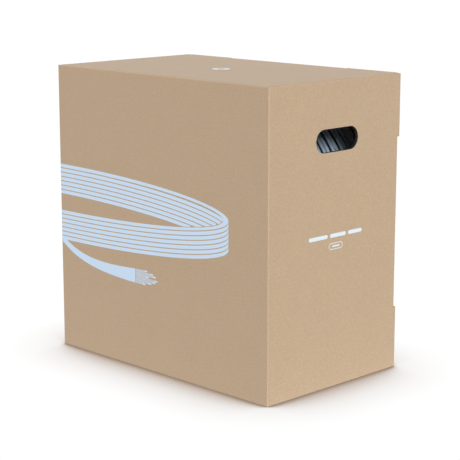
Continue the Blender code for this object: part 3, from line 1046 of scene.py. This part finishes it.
def bush_profile():
    low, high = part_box("reel_bush_rear")
    lip_radius, lip_end = high.x, high.y
    sleeve, bore = 29 * MM, 24.6 * MM
    lip_thickness, ease, lip_ease = 1.8 * MM, 0.6 * MM, 0.8 * MM
    lip_start = lip_end - lip_thickness
    return [(bore + ease, lip_end),
            *arc((lip_radius - lip_ease, lip_end - lip_ease), lip_ease, 90, 0),
            (lip_radius, lip_start), (sleeve, lip_start), (sleeve, low.y + ease),
            (sleeve - ease, low.y), (bore, low.y), (bore, lip_end - ease)]


def cap_profile():
    low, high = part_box("axle_cap_rear")
    flange, face = high.x, high.y
    plug, hole = 20.7 * MM, 8 * MM
    thickness, ease, flange_ease = 2.5 * MM, 0.5 * MM, 0.9 * MM
    taper, taper_length, nose = 0.4 * MM, 1.5 * MM, 1.2 * MM
    back = face - thickness
    return [(hole, face - ease), (hole + ease, face),
            *arc((flange - flange_ease, face - flange_ease), flange_ease, 90, 0),
            (flange, back), (plug, back), (plug - taper, low.y + taper_length),
            (plug - nose, low.y), (hole, low.y)]


def build_mouldings():
    """Bushes in the flanges, caps on the axle and the payout grommet, with eased edges."""
    for label, sign in REEL_ENDS:
        replacement("reel_bush_" + label, turned(mirrored(bush_profile(), sign), 72), PLASTIC)
        replacement("axle_cap_" + label, turned(mirrored(cap_profile(), sign), 64), PLASTIC,
                    "carton")
    build_grommet()


def build_grommet():
    low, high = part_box("payout_grommet")
    lip_radius = (high.y - low.y) / 2
    wall, mouth, mouth_in = 4 * MM, 2.6 * MM, 0.4 * MM
    lip_ease, bore_ease, sleeve_ease, sleeve_in = 0.7 * MM, 1.2 * MM, MM, 1.1 * MM
    bore = PAYOUT_RADIUS - wall
    sleeve = PAYOUT_RADIUS - GAP
    inside = high.x + SIDE
    profile = arc((sleeve - sleeve_in, SKIN + sleeve_ease), sleeve_ease, -90, 0)
    profile += [(sleeve, BOARD + GAP)]
    profile += arc((lip_radius - lip_ease, BOARD + GAP + lip_ease), lip_ease, -90, 0, 3)
    profile += arc((lip_radius - lip_ease, inside - lip_ease), lip_ease, 0, 90, 3)
    profile += arc((bore + bore_ease, inside - bore_ease), bore_ease, 90, 180)
    profile += arc((bore + mouth, SKIN + mouth + mouth_in), mouth, 180, 250, 6)
    placed = [(radius, place - SIDE) for radius, place in profile]
    replacement("payout_grommet", turned(placed, 96, (0.0, PAYOUT_Z), "x"), PLASTIC,
                "carton")


def bolt_profile(low, high):
    """A domed head and a plain shaft with an eased end."""
    head_radius = (high.x - low.x) / 2
    head_height, rim, ease = 3 * MM, 0.4 * MM, 0.3 * MM
    shaft = TIE_SHAFT_RADIUS
    head = low.y + head_height
    dome = arc((0.0, 0.0), 1.0, -86, 0, 8)
    return [(r * head_radius, head - rim + y * (head_height - rim)) for r, y in dome] + [
        (head_radius, head), (shaft, head), (shaft, high.y - ease), (shaft - ease, high.y)]


def washer_profile(low, high):
    outer = (high.x - low.x) / 2
    bore = TIE_SHAFT_RADIUS + 0.3 * MM
    ease = 0.15 * MM
    return [(bore, low.y), (outer - ease, low.y), (outer, low.y + ease),
            (outer, high.y - ease), (outer - ease, high.y), (bore, high.y)]


def nut_body(low, high, centre):
    """A hexagon with both faces chamfered by a cone, and a bore."""
    radius = (high.x - low.x) / 2
    beyond, bore = radius + 0.1 * MM, TIE_SHAFT_RADIUS + 0.25 * MM
    corner, chamfer = 0.8 * MM, 0.48 * MM
    hexagon = turned([(radius, low.y), (radius, high.y)], 6, centre, capped=True)
    cone = [(radius - corner, low.y), (beyond, low.y + chamfer), (beyond, high.y - chamfer),
            (radius - corner, high.y)]
    body = combine(hexagon, turned(cone, 48, centre, capped=True), "INTERSECT")
    cutter = [(bore, low.y - corner), (bore, high.y + corner)]
    return combine(body, turned(cutter, 24, centre, capped=True), "DIFFERENCE")


def build_tie_hardware():
    """Bolts through both flanges, with a washer and a nut at the rear."""
    bolt, washer, nut = (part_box("tie_" + part + "_1") for part in ("bolt", "washer", "nut"))
    for label, centre in tie_centres():
        bolt_body = turned(bolt_profile(*bolt), 32, centre, capped=True)
        washer_body = turned(washer_profile(*washer), 40, centre)
        replacement("tie_bolt_" + label, bolt_body, ZINC)
        replacement("tie_washer_" + label, washer_body, ZINC)
        replacement("tie_nut_" + label, nut_body(*nut, centre), ZINC, sharp=20.0)


def finish_cad_nodes():
    """The barrel and the axle tube keep their CAD shape and get spiral paper."""
    for name in ("reel_barrel", "axle_tube"):
        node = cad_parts[name]
        node.data.materials.clear()
        node.data.materials.append(TUBE_PAPER)


# ==== Stage, light, camera

WHITE = colour(1.0, 1.0, 1.0)
AMBIENT = 0.66
STUDIO_WHITE = 1.02
FLOOR_HALF = 14.0
FLOOR_LIGHT = 0.70
BOUNCE_REACH = 160 * MM
BOUNCE_SIDE = 0.30
BOUNCE_FRONT = 0.09
SHADE_REACH, SHADE = 125 * MM, colour(0.40, 0.285, 0.20)
CONTACT_REACH, CONTACT_SHADE = 14 * MM, colour(0.30, 0.22, 0.16)
# Name, direction towards the light, strength and spread in degrees of each distant light
SUNS = (("key", (0.80, -0.45, 0.46), 0.78, 24.0),
        ("fill", (-0.25, -0.85, 0.20), 0.08, 50.0),
        ("back", (-0.66, 0.75, 0.02), 0.24, 40.0))
CAMERA_LENS = 114.53
CAMERA_PLACE = (1.4074, -1.3830, 0.5857)
CAMERA_DOWN, CAMERA_TURN = math.radians(11.677), math.radians(45.297)


def two_way_white(tree, lights, seen):
    """One shader where the camera looks straight at it, a softer one as a light source."""
    direct = make(tree, "LightPath").outputs["Is Camera Ray"]
    return make(tree, "MixShader", {0: direct, 1: lights, 2: seen}).outputs[0]


def build_world():
    world = bpy.data.worlds.new("studio")
    bpy.context.scene.world = world
    tree = empty_tree(world)

    def background(strength):
        return make(tree, "Background", {0: WHITE, 1: strength}).outputs[0]

    both = two_way_white(tree, background(AMBIENT), background(STUDIO_WHITE))
    make(tree, "OutputWorld", {0: both})


def closed_in(tree, reach):
    """How much stands round a floor point within reach: one at the foot of a long wall."""
    around = make(tree, "AmbientOcclusion", {"Distance": reach}, samples=24)
    closed = calc(tree, "SUBTRACT", 1.0, around.outputs["AO"])
    return calc(tree, "MINIMUM", calc(tree, "MULTIPLY", closed, 2.0), 1.0)


def bounce_light(tree):
    """What the floor sends to the other surfaces: more right beside the carton's walls."""
    place = make(tree, "NewGeometry").outputs["Position"]
    parts = xyz(tree, place)
    away = []
    for value, half in ((parts[0], SIDE), (parts[1], REAR)):
        outside = calc(tree, "SUBTRACT", calc(tree, "ABSOLUTE", value), half)
        away.append(calc(tree, "MAXIMUM", outside, 0.0))
    square = scaled(tree, away[0], away[0], calc(tree, "MULTIPLY", away[1], away[1]))
    close = remap(tree, calc(tree, "SQRT", square), 0.0, BOUNCE_REACH, 1.0, 0.0)
    beside = calc(tree, "GREATER_THAN", away[0], away[1])
    extra = scaled(tree, beside, BOUNCE_SIDE - BOUNCE_FRONT, BOUNCE_FRONT)
    return scaled(tree, close, extra, FLOOR_LIGHT)


def build_floor():
    """White studio floor with a soft contact shade where something stands on it."""
    bm = bmesh.new()
    bmesh.ops.create_grid(bm, x_segments=4, y_segments=4, size=FLOOR_HALF)
    floor = bm_object("floor", bm)
    floor.location.z = -0.05 * MM
    material = bpy.data.materials.new("studio_floor")
    tree = empty_tree(material)
    wide = closed_in(tree, SHADE_REACH)
    near = closed_in(tree, CONTACT_REACH)
    steep = calc(tree, "POWER", wide, 4.0)
    shade = scaled(tree, wide, 0.35, calc(tree, "MULTIPLY", steep, 0.65))
    tone = mix(tree, shade, WHITE, SHADE)
    tone = mix(tree, calc(tree, "MULTIPLY", near, near), tone, CONTACT_SHADE)

    def glow(tint, strength):
        return make(tree, "Emission", {0: tint, 1: strength}).outputs[0]

    lit = two_way_white(tree, glow(WHITE, bounce_light(tree)), glow(tone, STUDIO_WHITE))
    below = make(tree, "NewGeometry").outputs["Backfacing"]
    clear = make(tree, "BsdfTransparent").outputs[0]
    shader = make(tree, "MixShader", {0: below, 1: lit, 2: clear}).outputs[0]
    make(tree, "OutputMaterial", {0: shader})
    floor.data.materials.append(material)


def build_lights():
    """Distant lights; strength 1 lights a facing white surface to display white."""
    for name, towards, strength, spread in SUNS:
        lamp = bpy.data.lights.new(name, "SUN")
        lamp.energy = strength * math.pi
        lamp.angle = math.radians(spread)
        turn = Vector(towards).to_track_quat("Z", "Y").to_euler()
        new_object(name, lamp).rotation_euler = turn


def build_camera():
    data = bpy.data.cameras.new("camera")
    data.lens = CAMERA_LENS
    data.sensor_width = 36.0
    data.clip_end = 60.0
    camera = new_object("camera", data)
    camera.location = CAMERA_PLACE
    camera.rotation_euler = (math.pi / 2 - CAMERA_DOWN, 0.0, CAMERA_TURN)
    bpy.context.scene.camera = camera
    bpy.context.scene.view_settings.view_transform = "Standard"


build_camera()
build_world()
build_floor()
build_lights()
build_panels()
build_tabs()
build_inner_boards()
build_creases()
build_prints()
build_cable()
build_flanges()
build_mouldings()
build_tie_hardware()
finish_cad_nodes()
